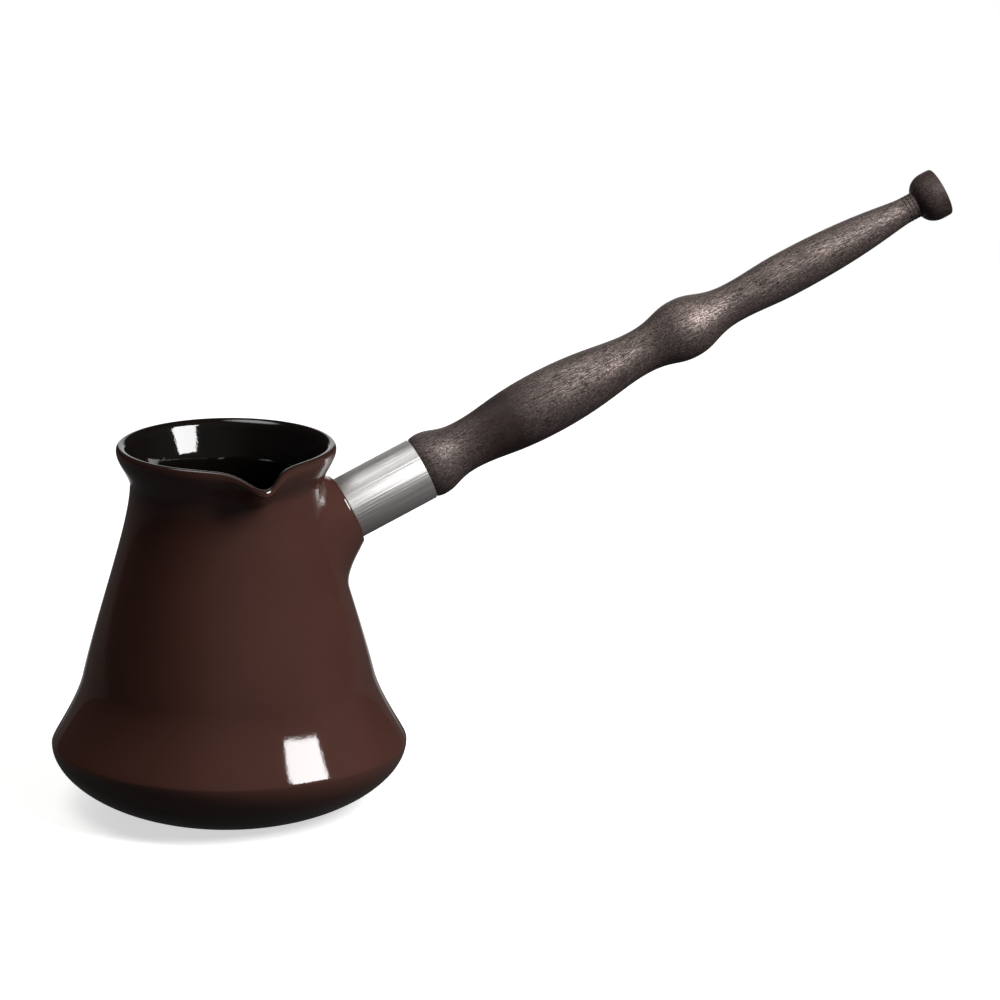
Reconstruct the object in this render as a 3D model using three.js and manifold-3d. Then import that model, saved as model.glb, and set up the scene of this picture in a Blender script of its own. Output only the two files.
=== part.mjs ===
// Turkish coffee pot: a glazed ceramic pot with a pulled pouring lip, and a turned wooden handle that screws
// into it.
// Millimetres, +Z up. The origin is the centre of the flat underside of the foot.
// The handle leaves towards +X and rises; the lip points almost square to it, towards -Y.

import * as THREE from "three";
import { mergeVertices } from "three/addons/utils/BufferGeometryUtils.js";
import Module from "manifold-3d";

const wasm = await Module();
wasm.setup();

const degree = Math.PI / 180;

// Clearance between neighbouring pieces
const fitGap = 0.3;

// Pot, outside: radii and heights of the places where its outline turns
const potHeight = 119;
const footRadius = 34;
const footSlope = 18 * degree;
const footRun = 12.6;
const bellyRadius = 57.5;
const bellyHeight = 20.2;
const bellyUndercut = 8.4;
const bellyCrown = 2.3;
const hipRadius = 47.1;
const hipHeight = 42.6;
const hipSlope = 12.7 * degree;
const hipRunDown = 9.5;
const hipRunUp = 23;
const neckRadius = 31.1;
const neckDrop = 12.9;
const neckRunDown = 12.4;
const neckRunUp = 3.2;
const rimRadius = 35.4;
const rimCurl = 3.4;

// Pot, wall
const wall = 4.2;
const floorThickness = 5;
const lipThickness = 3.8;

// Pouring lip: pulled out and down from the rim
const lipAzimuth = -86 * degree;
const lipHalfWidth = 8.4;
const lipPull = 8;
const lipDip = 5;
const lipDepth = 20;

// Boss and spigot that carry the handle
const handleRise = 24.9 * degree;
const handleAxisDrop = 42.8;
const bossProud = 6.5;
const bossShoulder = 1.6;
const bossRound = 1.8;
const bossFlare = 8.8;
const bossFlareRun = 9.3;
const bossFlareBendOut = 1.6;
const bossFlareBendRun = 2.5;
const spigotLength = 12;
const spigotChamfer = 0.8;

// Fastening: a threaded bush cemented into the spigot, and a stud screwed and glued into the grip
const studRadius = 3;
const bushWall = 1.2;
const bushEdge = 0.2;
const cementThickness = 0.9;
const cementEdge = 0.1;
const bushRunout = 2;
const studInGrip = 22;
const studTipChamfer = 0.6;
const gripBoreRunout = 1;
const washerThickness = 1.8;
const washerEdge = 0.2;

// Ferrule: a metal tube over the spigot and the tenon of the grip
const ferruleRadius = 10.5;
const ferruleWall = 0.8;
const ferruleLength = 27.3;
const ferruleEdge = 0.3;

// Turned grip: each feature's distance from the shoulder at the ferrule, its radius, and how far its
// roundness runs
const collarStep = 0.4;
const collarRound = 1.2;
const collar = { at: 2.6, radius: ferruleRadius + collarStep, after: 5.6 };
const firstNeck = { at: 16.3, radius: 8.3, before: 7.6, after: 8.8 };
const palmSwell = { at: 45, radius: 10.55, before: 15.1, after: 18.5 };
const secondNeck = { at: 80.5, radius: 7.4, before: 9.7, after: 8.3 };
const bead = { at: 97.1, radius: 10.1, before: 6.8, after: 7.5 };
const thirdNeck = { at: 116, radius: 6.5, before: 10, after: 7.8 };
const fingerSwell = { at: 137, radius: 7.4, before: 10, after: 26 };
const tailNeck = { at: 184.3, radius: 4.3, before: 4.7 };
const knobRadius = 8.2;
const knobBackLength = 6.2;
const knobBackClimb = 2.4;
const knobBackLean = 0.9;
const knobCrownRun = 3.1;
const knobFrontLength = 3.2;
const knobFaceRadius = 7.2;
const knobEdgeRound = 0.7;

// Fineness of the curves
const curveSteps = 5;
const potColumns = 72;
const columnCrowding = 0.5;
const gripColumns = 32;
const tubeColumns = 40;
const studColumns = 24;
const roundSteps = 4;

// Derived sizes
const lipRadius = lipThickness / 2;
const rimHeight = potHeight - lipRadius;
const neckHeight = potHeight - neckDrop;
const handleAxisHeight = potHeight - handleAxisDrop;
const sleeveRadius = ferruleRadius - ferruleWall - fitGap;
const bossRadius = ferruleRadius + bossShoulder;
const threadRadius = studRadius + fitGap;
const bushRadius = threadRadius + bushWall;
const cementRadius = bushRadius + fitGap + cementThickness;
const boreRadius = cementRadius + fitGap;
const bushLength = spigotLength + bushRunout;

// The frame of the handle: its local +Z runs out along the handle from the axis of the pot
const handleFrame = new THREE.Matrix4().makeRotationY(Math.PI / 2 - handleRise);
handleFrame.setPosition(0, 0, handleAxisHeight);

// Closed solid from a three.js geometry, its shared corners joined and its empty triangles left out
function toSolid(geometry) {
  const bare = new THREE.BufferGeometry();
  bare.setAttribute("position", geometry.getAttribute("position"));
  bare.setIndex(geometry.getIndex());
  const merged = mergeVertices(bare);
  const corners = merged.getIndex().array;
  const triangles = [];
  for (let i = 0; i < corners.length; i += 3) {
    const [a, b, c] = corners.slice(i, i + 3);
    if (a !== b && b !== c && c !== a) {
      triangles.push(a, b, c);
    }
  }
  const vertProperties = new Float32Array(merged.getAttribute("position").array);
  const triVerts = new Uint32Array(triangles);
  return new wasm.Manifold(new wasm.Mesh({ numProp: 3, vertProperties, triVerts }));
}

function toGeometry(solid) {
  const mesh = solid.getMesh();
  const geometry = new THREE.BufferGeometry();
  geometry.setAttribute("position", new THREE.BufferAttribute(mesh.vertProperties, 3));
  geometry.setIndex(new THREE.BufferAttribute(mesh.triVerts, 1));
  geometry.computeVertexNormals();
  return geometry;
}

// A profile of (radius, height) points turned about +Z
function turned(profile, columns) {
  return new THREE.LatheGeometry(profile, columns).rotateX(Math.PI / 2);
}

// A quarter circle of points about a centre, from one angle to the next
function quarter(centreX, centreY, radius, startAngle, sweep) {
  const points = [];
  for (let i = 0; i <= roundSteps; i += 1) {
    const angle = startAngle + (sweep * i) / roundSteps;
    points.push(new THREE.Vector2(centreX + radius * Math.cos(angle), centreY + radius * Math.sin(angle)));
  }
  return points;
}

// The outline of the pot from the edge of the foot up to the root of the rounded rim
function potOutline() {
  const path = new THREE.Path();
  path.moveTo(footRadius, 0);
  path.bezierCurveTo(
    footRadius + footRun * Math.cos(footSlope), footRun * Math.sin(footSlope),
    bellyRadius, bellyHeight - bellyUndercut,
    bellyRadius, bellyHeight,
  );
  path.bezierCurveTo(
    bellyRadius, bellyHeight + bellyCrown,
    hipRadius + hipRunDown * Math.sin(hipSlope), hipHeight - hipRunDown * Math.cos(hipSlope),
    hipRadius, hipHeight,
  );
  path.bezierCurveTo(
    hipRadius - hipRunUp * Math.sin(hipSlope), hipHeight + hipRunUp * Math.cos(hipSlope),
    neckRadius, neckHeight - neckRunDown,
    neckRadius, neckHeight,
  );
  path.bezierCurveTo(
    neckRadius, neckHeight + neckRunUp,
    rimRadius, rimHeight - rimCurl,
    rimRadius, rimHeight,
  );
  return path.getPoints(curveSteps);
}

// An outline moved inwards, square to itself
function inset(outline, distance) {
  return outline.map((point, i) => {
    const before = outline[Math.max(i - 1, 0)];
    const after = outline[Math.min(i + 1, outline.length - 1)];
    const along = after.clone().sub(before).normalize();
    return new THREE.Vector2(point.x - along.y * distance, point.y + along.x * distance);
  });
}

// Wall of the pot: up the outside, round the rim, down the inside and across the floor
function wallProfile() {
  const outside = outline.slice(0, -1);
  const inside = inset(outside, wall).filter((point) => point.y > floorThickness + fitGap);
  const rim = quarter(rimRadius - lipRadius, rimHeight, lipRadius, 0, Math.PI);
  return [
    new THREE.Vector2(0, 0),
    ...outside,
    ...rim,
    ...inside.reverse(),
    new THREE.Vector2(footRadius, floorThickness),
    new THREE.Vector2(0, floorThickness),
  ];
}

// Pulls the pouring lip out of the turned wall. The columns are first drawn closer together towards the lip.
function pullLip(geometry) {
  const position = geometry.getAttribute("position");
  const angularWidth = lipHalfWidth / rimRadius;
  for (let i = 0; i < position.count; i += 1) {
    const radius = Math.hypot(position.getX(i), position.getY(i));
    const height = position.getZ(i);
    const around = Math.atan2(position.getY(i), position.getX(i)) - lipAzimuth;
    const turn = Math.atan2(Math.sin(around), Math.cos(around));
    const crowded = turn - columnCrowding * Math.sin(turn);
    const rise = THREE.MathUtils.clamp(1 + (height - rimHeight) / lipDepth, 0, 1) ** 2;
    const share = rise / (1 + (crowded / angularWidth) ** 2) ** 2;
    const reach = radius + lipPull * share;
    const azimuth = lipAzimuth + crowded;
    position.setXYZ(i, reach * Math.cos(azimuth), reach * Math.sin(azimuth), height - lipDip * share);
  }
  return geometry;
}

// How far along the handle's axis its line leaves the outside of the pot
function wallCrossing() {
  const gap = (point) => {
    const along = (point.y - handleAxisHeight) / Math.sin(handleRise);
    return along * Math.cos(handleRise) - point.x;
  };
  const above = outline.findIndex((point) => gap(point) > 0);
  const low = outline[above - 1];
  const high = outline[above];
  const share = gap(low) / (gap(low) - gap(high));
  const height = low.y + share * (high.y - low.y);
  return (height - handleAxisHeight) / Math.sin(handleRise);
}

const outline = potOutline();
const bossEnd = wallCrossing() + bossProud;
const spigotEnd = bossEnd + spigotLength;
const bushStart = spigotEnd - bushLength;
const ferruleStart = bossEnd + fitGap;
const ferruleEnd = ferruleStart + ferruleLength;
const washerStart = spigotEnd + fitGap;
const tenonStart = washerStart + washerThickness + fitGap;
const shoulder = ferruleEnd + fitGap;

// Boss with a rounded edge that flares into the wall, and the spigot that enters the ferrule
function bossProfile() {
  const flare = new THREE.Path();
  flare.moveTo(bossRadius + bossFlare, bossEnd - bossRound - bossFlareRun);
  flare.quadraticCurveTo(
    bossRadius + bossFlareBendOut, bossEnd - bossRound - bossFlareBendRun,
    bossRadius, bossEnd - bossRound,
  );
  return [
    new THREE.Vector2(0, 0),
    new THREE.Vector2(bossRadius + bossFlare, 0),
    ...flare.getPoints(curveSteps).slice(0, -1),
    ...quarter(bossRadius - bossRound, bossEnd - bossRound, bossRound, 0, Math.PI / 2),
    new THREE.Vector2(sleeveRadius, bossEnd),
    new THREE.Vector2(sleeveRadius, spigotEnd - spigotChamfer),
    new THREE.Vector2(sleeveRadius - spigotChamfer, spigotEnd),
    new THREE.Vector2(0, spigotEnd),
  ];
}

// Half-way surface of the wall, which trims the boss so that the inside of the pot stays smooth
function coreProfile() {
  const middle = inset(outline.slice(0, -1), wall / 2).filter((point) => point.y > floorThickness);
  return [
    new THREE.Vector2(0, middle[0].y),
    ...middle,
    new THREE.Vector2(0, middle[middle.length - 1].y),
  ];
}

// A round bar about the local +Z
function bar(radius, start, end, columns) {
  return turned([
    new THREE.Vector2(0, start),
    new THREE.Vector2(radius, start),
    new THREE.Vector2(radius, end),
    new THREE.Vector2(0, end),
  ], columns);
}

// A tube about the local +Z with its outer edges broken
function tube(innerRadius, outerRadius, start, end, edge, columns) {
  return turned([
    new THREE.Vector2(innerRadius, start),
    new THREE.Vector2(outerRadius - edge, start),
    new THREE.Vector2(outerRadius, start + edge),
    new THREE.Vector2(outerRadius, end - edge),
    new THREE.Vector2(outerRadius - edge, end),
    new THREE.Vector2(innerRadius, end),
    new THREE.Vector2(innerRadius, start),
  ], columns);
}

function potBody() {
  const shell = toSolid(pullLip(turned(wallProfile(), potColumns)));
  const core = toSolid(turned(coreProfile(), potColumns));
  const boss = toSolid(turned(bossProfile(), tubeColumns).applyMatrix4(handleFrame));
  const boreBar = bar(boreRadius, bushStart - fitGap, spigotEnd + fitGap, tubeColumns);
  const bore = toSolid(boreBar.applyMatrix4(handleFrame));
  return toGeometry(shell.add(boss.subtract(core)).subtract(bore));
}

// The threaded part of the stud fills the bush; the other end is glued into the grip
function handleStud() {
  const start = spigotEnd - spigotLength;
  const end = tenonStart + studInGrip;
  return turned([
    new THREE.Vector2(0, start),
    new THREE.Vector2(studRadius - studTipChamfer, start),
    new THREE.Vector2(studRadius, start + studTipChamfer),
    new THREE.Vector2(studRadius, end - studTipChamfer),
    new THREE.Vector2(studRadius - studTipChamfer, end),
    new THREE.Vector2(0, end),
  ], studColumns);
}

// Outline of the visible wood from the shoulder to the end of the knob, turned with smooth swells and necks
function gripOutline() {
  const features = [collar, firstNeck, palmSwell, secondNeck, bead, thirdNeck, fingerSwell, tailNeck];
  const path = new THREE.Path();
  path.moveTo(collar.radius - collarRound, shoulder);
  path.quadraticCurveTo(collar.radius, shoulder, collar.radius, shoulder + collar.at);
  features.slice(1).forEach((feature, i) => {
    const last = features[i];
    path.bezierCurveTo(
      last.radius, shoulder + last.at + last.after,
      feature.radius, shoulder + feature.at - feature.before,
      feature.radius, shoulder + feature.at,
    );
  });
  const knobStart = shoulder + tailNeck.at;
  const knobCrown = knobStart + knobBackLength;
  const knobEnd = knobCrown + knobFrontLength;
  path.bezierCurveTo(
    tailNeck.radius + knobBackClimb, knobStart + knobBackLean,
    knobRadius, knobCrown - knobCrownRun,
    knobRadius, knobCrown,
  );
  path.quadraticCurveTo(
    knobRadius, knobEnd - knobEdgeRound,
    knobFaceRadius + knobEdgeRound, knobEnd - knobEdgeRound,
  );
  path.quadraticCurveTo(knobFaceRadius + knobEdgeRound / 2, knobEnd, knobFaceRadius, knobEnd);
  path.lineTo(0, knobEnd);
  return path.getPoints(curveSteps);
}

// Turned grip with the tenon that fills the ferrule and the blind hole for the stud
function handleGrip() {
  const holeRadius = studRadius + fitGap;
  const holeEnd = tenonStart + studInGrip + gripBoreRunout;
  return turned([
    new THREE.Vector2(0, holeEnd),
    new THREE.Vector2(holeRadius, holeEnd),
    new THREE.Vector2(holeRadius, tenonStart),
    new THREE.Vector2(sleeveRadius, tenonStart),
    new THREE.Vector2(sleeveRadius, shoulder),
    ...gripOutline(),
  ], gripColumns);
}

function finish(color, roughness, metalness) {
  return new THREE.MeshStandardMaterial({ color, roughness, metalness });
}

function piece(name, geometry, material) {
  const mesh = new THREE.Mesh(geometry, material);
  mesh.name = name;
  return mesh;
}

function threadBush() {
  return tube(threadRadius, bushRadius, bushStart, spigotEnd, bushEdge, studColumns);
}

function cementBed() {
  return tube(bushRadius + fitGap, cementRadius, bushStart, spigotEnd, cementEdge, tubeColumns);
}

function heatWasher() {
  const washerEnd = washerStart + washerThickness;
  return tube(threadRadius, sleeveRadius, washerStart, washerEnd, washerEdge, tubeColumns);
}

function ferrule() {
  return tube(ferruleRadius - ferruleWall, ferruleRadius, ferruleStart, ferruleEnd, ferruleEdge, tubeColumns);
}

const pot = new THREE.Group();
pot.add(piece("pot_body", potBody(), finish(0x42291f, 0.15, 0)));

const alongHandle = new THREE.Group();
alongHandle.applyMatrix4(handleFrame);
alongHandle.add(
  piece("thread_bush", threadBush(), finish(0xb99a52, 0.4, 1)),
  piece("cement_bed", cementBed(), finish(0xd8d2c2, 0.9, 0)),
  piece("heat_washer", heatWasher(), finish(0x3a3a3c, 0.8, 0)),
  piece("handle_stud", handleStud(), finish(0xb8babd, 0.35, 1)),
  piece("ferrule", ferrule(), finish(0xd4d4d6, 0.3, 1)),
  piece("handle_grip", handleGrip(), finish(0x33231e, 0.6, 0)),
);

const coffeePot = new THREE.Group();
coffeePot.add(pot, alongHandle);

export default coffeePot;
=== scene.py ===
# Turkish coffee pot: a glazed ceramic pot with a pulled pouring lip, and a turned wooden handle that screws
# into it. The sections follow the pot as it is put together, after the camera.

import math

import bpy
import numpy as np
from mathutils import Matrix, Vector


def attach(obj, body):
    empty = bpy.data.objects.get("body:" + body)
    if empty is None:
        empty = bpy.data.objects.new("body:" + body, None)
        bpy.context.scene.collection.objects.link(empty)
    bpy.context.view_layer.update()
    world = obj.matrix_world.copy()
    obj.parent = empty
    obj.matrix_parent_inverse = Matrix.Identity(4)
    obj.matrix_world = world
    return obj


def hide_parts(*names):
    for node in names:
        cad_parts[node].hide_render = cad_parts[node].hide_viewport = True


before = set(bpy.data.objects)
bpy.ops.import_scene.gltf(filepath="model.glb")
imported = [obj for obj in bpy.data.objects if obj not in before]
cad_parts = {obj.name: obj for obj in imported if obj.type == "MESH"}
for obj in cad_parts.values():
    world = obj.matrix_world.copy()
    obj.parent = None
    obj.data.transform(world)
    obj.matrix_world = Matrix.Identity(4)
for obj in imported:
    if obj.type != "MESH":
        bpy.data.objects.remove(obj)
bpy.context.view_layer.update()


# Camera: a long lens a little above the rim, turned so that the handle leaves to the right.
# The distance and the aim are those at which the outline of the pot meets the photographed one.
mm = 0.001
degree = math.pi / 180
camera_lens = 234
camera_azimuth = -15.4 * degree
camera_pitch = 14.83 * degree
camera_distance = 2101.6 * mm
camera_aim = Vector((88.0, -11.2, 97.0)) * mm

camera_back = Vector((
    math.sin(camera_azimuth) * math.cos(camera_pitch),
    -math.cos(camera_azimuth) * math.cos(camera_pitch),
    math.sin(camera_pitch),
))
bpy.ops.object.camera_add(location=camera_aim + camera_back * camera_distance)
camera = bpy.context.object
camera.name = "photo_camera"
camera.rotation_euler = (-camera_back).to_track_quat("-Z", "Y").to_euler()
camera.data.lens = camera_lens
camera.data.clip_end = 20
bpy.context.scene.camera = camera


# Pot body, the turned wall: one piece of cast stoneware, its outline drawn once and turned about the upright
# axis. The outside and the rounded rim are drawn finely because their gloss shows every facet; the inside and
# the flat foot are plainer.
pot_height = 119 * mm
foot_radius = 34 * mm
foot_slope = 18 * degree
foot_run = 12.6 * mm
belly_radius = 57.5 * mm
belly_height = 20.2 * mm
belly_undercut = 8.4 * mm
belly_crown = 1.3 * mm
hip_radius = 47.1 * mm
hip_height = 42.6 * mm
hip_slope = 12.7 * degree
hip_run_down = 9.5 * mm
hip_run_up = 23 * mm
neck_radius = 31.1 * mm
neck_height = pot_height - 12.9 * mm
neck_run_down = 12.4 * mm
neck_run_up = 3.2 * mm
rim_radius = 35.4 * mm
rim_curl = 3.4 * mm
lip_radius = 1.9 * mm
rim_flare = 30 * degree
rim_height = pot_height - lip_radius
wall = 4.2 * mm
floor_thickness = 5 * mm
pot_columns = 256
outside_steps = 38
inside_steps = 14
# A cubic curve follows a half circle when its handles are four thirds of the radius
half_circle = 4 / 3


def draw_profile(name, knots, steps):
    """An outline in the XZ plane, drawn through knots. A knot is (handle before, place, handle after), and
    each of the three is (radius, height)."""
    bpy.ops.object.select_all(action="DESELECT")
    bpy.ops.curve.primitive_bezier_curve_add(location=(0, 0, 0))
    profile = bpy.context.object
    profile.name = name
    profile.data.resolution_u = steps
    spline = profile.data.splines[0]
    spline.bezier_points.add(len(knots) - len(spline.bezier_points))
    for point, (before, place, after) in zip(spline.bezier_points, knots):
        point.handle_left_type = "FREE"
        point.handle_right_type = "FREE"
        point.co = (place[0], 0, place[1])
        point.handle_left = (before[0], 0, before[1])
        point.handle_right = (after[0], 0, after[1])
    bpy.ops.object.convert(target="MESH")
    return bpy.context.object


def corner(place):
    """A knot where straight lines meet."""
    return place, place, place


def turn_profile(profile, columns):
    """Turns an outline about its Z axis into a closed skin that faces outwards."""
    bpy.ops.object.mode_set(mode="EDIT")
    bpy.ops.mesh.select_all(action="SELECT")
    bpy.ops.mesh.spin(steps=columns, angle=2 * math.pi, center=(0, 0, 0), axis=(0, 0, 1))
    bpy.ops.mesh.select_all(action="SELECT")
    bpy.ops.mesh.remove_doubles(threshold=0.002 * mm)
    bpy.ops.mesh.normals_make_consistent(inside=False)
    bpy.ops.mesh.select_all(action="DESELECT")
    bpy.ops.object.mode_set(mode="OBJECT")
    return profile


foot_edge = (foot_radius, 0)
foot_handle = (foot_radius + foot_run * math.cos(foot_slope), foot_run * math.sin(foot_slope))
hip_out, hip_up = math.sin(hip_slope), math.cos(hip_slope)
outside_knots = [
    (foot_edge, foot_edge, foot_handle),
    (
        (belly_radius, belly_height - belly_undercut),
        (belly_radius, belly_height),
        (belly_radius, belly_height + belly_crown),
    ),
    (
        (hip_radius + hip_run_down * hip_out, hip_height - hip_run_down * hip_up),
        (hip_radius, hip_height),
        (hip_radius - hip_run_up * hip_out, hip_height + hip_run_up * hip_up),
    ),
    (
        (neck_radius, neck_height - neck_run_down),
        (neck_radius, neck_height),
        (neck_radius, neck_height + neck_run_up),
    ),
    (
        (rim_radius, rim_height - rim_curl),
        (rim_radius, rim_height),
        (rim_radius, rim_height + half_circle * lip_radius),
    ),
]
rim_inside = rim_radius - 2 * lip_radius
inside_rim_knot = (
    (rim_inside + half_circle * lip_radius * math.tan(rim_flare), rim_height + half_circle * lip_radius),
    (rim_inside, rim_height),
    (rim_inside - rim_curl * math.sin(rim_flare), rim_height - rim_curl * math.cos(rim_flare)),
)
# The inside runs a wall's thickness within the outside, down to the floor
inside_knots = [
    inside_rim_knot,
    (
        (neck_radius - wall, neck_height + neck_run_up),
        (neck_radius - wall, neck_height),
        (neck_radius - wall, neck_height - neck_run_down),
    ),
    (
        (hip_radius - wall - hip_run_up * hip_out, hip_height + hip_run_up * hip_up),
        (hip_radius - wall, hip_height - wall * hip_out),
        (hip_radius - wall + hip_run_down * hip_out, hip_height - hip_run_down * hip_up),
    ),
    (
        (belly_radius - wall, belly_height + belly_crown),
        (belly_radius - wall, belly_height),
        (belly_radius - wall, belly_height - belly_undercut),
    ),
    (
        (foot_radius + foot_run, floor_thickness + foot_run * math.tan(foot_slope)),
        (foot_radius, floor_thickness),
        (foot_radius, floor_thickness),
    ),
    corner((0, floor_thickness)),
]
pot = draw_profile("pot_outside", outside_knots + [inside_rim_knot], outside_steps)
outline = [(point.co.x, point.co.z) for point in pot.data.vertices]
draw_profile("pot_inside", inside_knots, inside_steps)
draw_profile("pot_foot", [corner((0, 0)), corner(foot_edge)], steps=1)
for part in ("pot_outside", "pot_inside", "pot_foot"):
    bpy.data.objects[part].select_set(True)
bpy.context.view_layer.objects.active = pot
bpy.ops.object.join()
turn_profile(pot, pot_columns)
pot.name = "glazed_pot"


# Pot body, the glazes: the outside is dipped in a brown glaze and the inside is lined with a black one, which
# wraps over the crown of the rim and fades into the brown. The foot is wiped bare so that it doesn't stick in
# the kiln.
brown_glaze_colour = "#4f322b"
brown_glaze_deep = "#432923"
black_glaze_colour = "#120e0c"
black_glaze_deep = "#0a0807"
glaze_roughness = 0.06
glaze_ior = 1.6
glaze_ripple_width = 0.9 * mm
glaze_ripple_height = 0.016 * mm
glaze_cloud_width = 24 * mm
bare_clay_colour = "#b39a80"
bare_clay_deep = "#8f7760"
grit_width = 0.5 * mm
grit_height = 0.06 * mm
lining_starts = 5 * degree
lining_full = 75 * degree
# How squarely a face of the wall looks inwards, one of the floor upwards and one of the foot downwards
inside_facing = 0.45
floor_facing = 0.5
foot_facing = 0.99

# The share of black at each point, by how far round the crown of the rim it lies
lining = pot.data.attributes.new("lining", "FLOAT", "POINT")
for point in pot.data.vertices:
    over_crown = math.hypot(point.co.x, point.co.y) - (rim_radius - lip_radius)
    round_crown = math.atan2(point.co.z - rim_height, over_crown)
    share = (round_crown - lining_starts) / (lining_full - lining_starts)
    lining.data[point.index].value = min(max(share, 0), 1) if point.co.z > rim_height else 0


def linear(colour):
    """An sRGB hex colour as linear red, green, blue and alpha."""
    parts = [int(colour[i:i + 2], 16) / 255 for i in (1, 3, 5)]
    return [p / 12.92 if p <= 0.04045 else ((p + 0.055) / 1.055) ** 2.4 for p in parts] + [1]


def add_node(tree, kind, inputs=(), **settings):
    """Adds a node, sets it up, and gives each of its inputs a value or a link from an output."""
    node = tree.nodes.new(kind)
    for name, value in settings.items():
        setattr(node, name, value)
    for socket, value in dict(inputs).items():
        if isinstance(value, bpy.types.NodeSocket):
            tree.links.new(value, node.inputs[socket])
        else:
            node.inputs[socket].default_value = value
    return node


def start_finish(name):
    """A new material with its node tree emptied, and the output that its shader goes to."""
    material = bpy.data.materials.new(name)
    material.use_nodes = True
    tree = material.node_tree
    tree.nodes.clear()
    return material, tree, add_node(tree, "ShaderNodeOutputMaterial")


def glaze(name, colour, deep):
    """Fired glaze: a hard gloss over the body, with slow clouds of depth and a faint ripple where it flowed,
    so it mirrors a lamp sharply, with a wavering edge. It darkens where the black lining wraps the rim."""
    material, tree, output = start_finish(name)
    place = add_node(tree, "ShaderNodeTexCoord").outputs["Object"]
    clouds = add_node(tree, "ShaderNodeTexNoise", {
        "Vector": place, "Scale": 1 / glaze_cloud_width, "Detail": 3,
    })
    shade = add_node(tree, "ShaderNodeMix", {
        "Factor": clouds.outputs["Fac"], "A": linear(colour), "B": linear(deep),
    }, data_type="RGBA")
    black_share = add_node(tree, "ShaderNodeAttribute", attribute_name="lining")
    lined = add_node(tree, "ShaderNodeMix", {
        "Factor": black_share.outputs["Fac"], "A": shade.outputs["Result"], "B": linear(black_glaze_colour),
    }, data_type="RGBA")
    ripple = add_node(tree, "ShaderNodeTexNoise", {
        "Vector": place, "Scale": 1 / glaze_ripple_width, "Detail": 2,
    })
    bump = add_node(tree, "ShaderNodeBump", {
        "Height": ripple.outputs["Fac"], "Distance": glaze_ripple_height, "Strength": 1,
    })
    shader = add_node(tree, "ShaderNodeBsdfPrincipled", {
        "Base Color": lined.outputs["Result"], "Roughness": glaze_roughness, "IOR": glaze_ior,
        "Normal": bump.outputs["Normal"],
    })
    tree.links.new(shader.outputs["BSDF"], output.inputs["Surface"])
    return material


def bare_grit(name, colour, deep):
    """Fired clay without glaze, or set cement: matt and sandy, so it scatters light evenly."""
    material, tree, output = start_finish(name)
    place = add_node(tree, "ShaderNodeTexCoord").outputs["Object"]
    grit = add_node(tree, "ShaderNodeTexNoise", {"Vector": place, "Scale": 1 / grit_width, "Detail": 4})
    shade = add_node(tree, "ShaderNodeMix", {
        "Factor": grit.outputs["Fac"], "A": linear(colour), "B": linear(deep),
    }, data_type="RGBA")
    bump = add_node(tree, "ShaderNodeBump", {
        "Height": grit.outputs["Fac"], "Distance": grit_height, "Strength": 1,
    })
    shader = add_node(tree, "ShaderNodeBsdfPrincipled", {
        "Base Color": shade.outputs["Result"], "Roughness": 0.9, "Normal": bump.outputs["Normal"],
    })
    tree.links.new(shader.outputs["BSDF"], output.inputs["Surface"])
    return material


pot.data.materials.append(glaze("brown_glaze", brown_glaze_colour, brown_glaze_deep))
pot.data.materials.append(glaze("black_glaze", black_glaze_colour, black_glaze_deep))
pot.data.materials.append(bare_grit("bare_clay", bare_clay_colour, bare_clay_deep))
brown_slot, black_slot, clay_slot = range(3)
for face in pot.data.polygons:
    centre = face.center
    away = Vector((centre.x, centre.y, 0)).normalized()
    facing = face.normal.dot(away)
    on_floor = face.normal.z > floor_facing and centre.z < belly_height
    if face.normal.z < -foot_facing and centre.z < floor_thickness / 2:
        face.material_index = clay_slot
    elif facing < -inside_facing or (on_floor and facing < floor_facing):
        face.material_index = black_slot
    else:
        face.material_index = brown_slot


# Pot body, the pouring lip: pulled out and down from the rim with a finger while the clay is soft, so the
# whole wall bends with it. Its swell falls off smoothly to both sides and down the wall, which no
# proportional edit matches, so the points are moved by the formula of that swell.
lip_azimuth = -86 * degree
lip_half_width = 8.4 * mm
lip_pull = 8 * mm
lip_dip = 5 * mm
lip_depth = 20 * mm

for point in pot.data.vertices:
    radius = math.hypot(point.co.x, point.co.y)
    around = math.atan2(point.co.y, point.co.x) - lip_azimuth
    around = math.atan2(math.sin(around), math.cos(around))
    rise = min(max(1 + (point.co.z - rim_height) / lip_depth, 0), 1) ** 2
    share = rise / (1 + (around / (lip_half_width / rim_radius)) ** 2) ** 2
    if radius > 0:
        stretch = (radius + lip_pull * share) / radius
        point.co = (point.co.x * stretch, point.co.y * stretch, point.co.z - lip_dip * share)


# Pot body, the boss: luted to the neck for the handle and smoothed into the wall, with a bare spigot that
# enters the ferrule and a bore for the bush. Rings about the handle's axis run from the wall up the blend,
# round the edge of the boss, along the spigot and into the bore; they are bridged to a hole cut in the wall.
handle_rise = 24.9 * degree
handle_axis_height = pot_height - 42.8 * mm
boss_radius = 12.1 * mm
boss_end = 43.79 * mm
boss_round = 0.35 * mm
blend_reach_above, blend_reach_below = 4.4 * mm, 10.6 * mm
blend_start_above, blend_start_below = 2.4 * mm, 4.6 * mm
blend_lean = 2 * mm
blend_climb = 2.5 * mm
spigot_radius = 9.4 * mm
spigot_length = 12 * mm
spigot_end = boss_end + spigot_length
spigot_chamfer = 0.8 * mm
bore_radius = 6 * mm
bore_depth = 14.3 * mm
bore_end = spigot_end - bore_depth
boss_columns = 160
blend_steps = 18
edge_steps = 8
# The boss runs on past its blend by a margin on the wall, and the hole in the wall is larger again
boss_margin = 1.5 * mm
hole_margin = 0.6 * mm
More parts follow.
